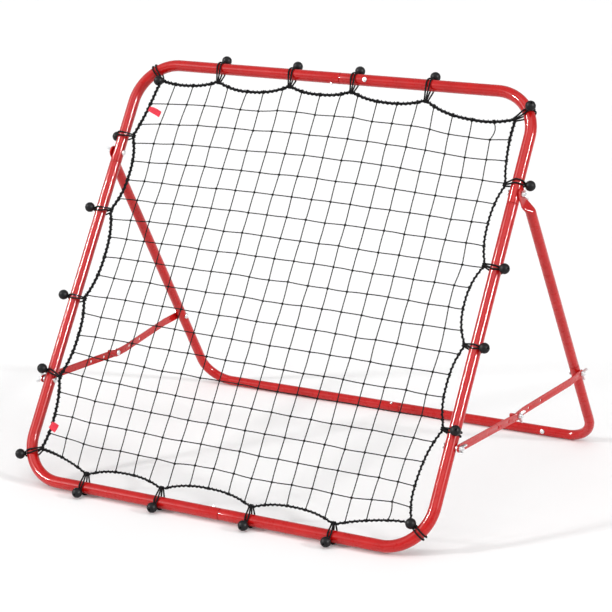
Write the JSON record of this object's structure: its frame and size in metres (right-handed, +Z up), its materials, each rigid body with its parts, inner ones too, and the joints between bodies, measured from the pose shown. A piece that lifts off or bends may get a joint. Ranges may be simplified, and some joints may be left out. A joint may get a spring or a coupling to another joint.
{
  "type": "pitch back rebounder",
  "caption": "Square net stretched by ball ties in a round-cornered tube frame that leans on a hinged rear stand, held open by perforated folding side struts.",
  "frame": {"origin": "on the ground at the middle of the footprint's box", "axes": "+Z up, the net faces -Y and the stand is behind it at +Y, +X to the right as seen from the front"},
  "size_m": [1.0738, 0.8375, 0.8573],
  "materials": {
    "red_powder_coat": "gloss red powder coat",
    "zinc_plate": "bright zinc plate",
    "black_elastic": "black sheathed elastic cord with a matte moulded ball",
    "black_twine": "black twisted polyethylene twine",
    "red_cloth": "plain bright red cloth"
  },
  "bodies": {
    "front_frame": {"front_tube_upper_left": "red_powder_coat", "front_tube_upper_right": "red_powder_coat", "front_tube_lower_left": "red_powder_coat", "front_tube_lower_right": "red_powder_coat", "pivot_bolt_left": "zinc_plate", "pivot_bolt_right": "zinc_plate", "pivot_wing_nut_left": "zinc_plate", "pivot_wing_nut_right": "zinc_plate", "strut_front_bolt_left": "zinc_plate", "strut_front_bolt_right": "zinc_plate", "snap_spring_top": "zinc_plate", "snap_spring_bottom": "zinc_plate", "top_screw": "zinc_plate", "border_rope": "black_twine", "net": "black_twine", "tag_upper": "red_cloth", "tag_lower": "red_cloth", "tie_top_1": "black_elastic", "tie_top_2": "black_elastic", "tie_top_3": "black_elastic", "tie_top_4": "black_elastic", "tie_bottom_1": "black_elastic", "tie_bottom_2": "black_elastic", "tie_bottom_3": "black_elastic", "tie_bottom_4": "black_elastic", "tie_left_1": "black_elastic", "tie_left_2": "black_elastic", "tie_left_3": "black_elastic", "tie_left_4": "black_elastic", "tie_right_1": "black_elastic", "tie_right_2": "black_elastic", "tie_right_3": "black_elastic", "tie_right_4": "black_elastic", "tie_corner_top_left": "black_elastic", "tie_corner_top_right": "black_elastic", "tie_corner_bottom_right": "black_elastic", "tie_corner_bottom_left": "black_elastic"},
    "rear_stand": {"rear_leg_left": "red_powder_coat", "rear_leg_right": "red_powder_coat", "rear_foot_left": "red_powder_coat", "rear_foot_right": "red_powder_coat", "strut_rear_bolt_left": "zinc_plate", "strut_rear_bolt_right": "zinc_plate", "strut_rear_wing_nut_left": "zinc_plate", "strut_rear_wing_nut_right": "zinc_plate", "snap_spring_rear": "zinc_plate", "rear_screw": "zinc_plate"},
    "strut_rear_bar_left": {"strut_rear_left": "red_powder_coat", "strut_mid_bolt_left": "zinc_plate", "strut_mid_wing_nut_left": "zinc_plate"},
    "strut_front_bar_left": {"strut_front_left": "red_powder_coat", "strut_front_wing_left": "zinc_plate"},
    "strut_rear_bar_right": {"strut_rear_right": "red_powder_coat", "strut_mid_bolt_right": "zinc_plate", "strut_mid_wing_nut_right": "zinc_plate"},
    "strut_front_bar_right": {"strut_front_right": "red_powder_coat", "strut_front_wing_right": "zinc_plate"},
    "button_top": {"snap_button_top": "zinc_plate"},
    "button_bottom": {"snap_button_bottom": "zinc_plate"},
    "button_rear": {"snap_button_rear": "zinc_plate"}
  },
  "joints": [
    {"name": "stand_fold", "type": "hinge", "parent": "front_frame", "child": "rear_stand", "pos_m": [0, 0.03216, 0.64889], "axis": [1, 0, 0], "range_deg": [-30, 0]},
    {"name": "strut_heel_left", "type": "hinge", "parent": "rear_stand", "child": "strut_rear_bar_left", "pos_m": [-0.52385, 0.2984, 0.197], "axis": [1, 0, 0], "range_deg": [-42.5, 0]},
    {"name": "strut_elbow_left", "type": "hinge", "parent": "strut_rear_bar_left", "child": "strut_front_bar_left", "pos_m": [-0.52385, 0.0147, 0.18288], "axis": [1, 0, 0], "range_deg": [0, 129.5]},
    {"name": "strut_heel_right", "type": "hinge", "parent": "rear_stand", "child": "strut_rear_bar_right", "pos_m": [0.52385, 0.2984, 0.197], "axis": [1, 0, 0], "range_deg": [-42.5, 0]},
    {"name": "strut_elbow_right", "type": "hinge", "parent": "strut_rear_bar_right", "child": "strut_front_bar_right", "pos_m": [0.52385, 0.0147, 0.18288], "axis": [1, 0, 0], "range_deg": [0, 129.5]},
    {"name": "press_top", "type": "slide", "parent": "front_frame", "child": "button_top", "axis": [0, -0.5476, -0.8368], "range_m": [-0.005, 0], "stiffness_N_per_m": 900, "springref_m": 0.002},
    {"name": "press_bottom", "type": "slide", "parent": "front_frame", "child": "button_bottom", "axis": [0, 0.5476, 0.8368], "range_m": [-0.005, 0], "stiffness_N_per_m": 900, "springref_m": 0.002},
    {"name": "press_rear", "type": "slide", "parent": "rear_stand", "child": "button_rear", "axis": [0, -0.5076, 0.8616], "range_m": [-0.005, 0], "stiffness_N_per_m": 900, "springref_m": 0.002}
  ],
  "couplings": [
    {"joint": "strut_heel_left", "follows": "stand_fold", "ratio": 1.4},
    {"joint": "strut_elbow_left", "follows": "stand_fold", "ratio": -4.3},
    {"joint": "strut_heel_right", "follows": "stand_fold", "ratio": 1.4},
    {"joint": "strut_elbow_right", "follows": "stand_fold", "ratio": -4.3}
  ]
}
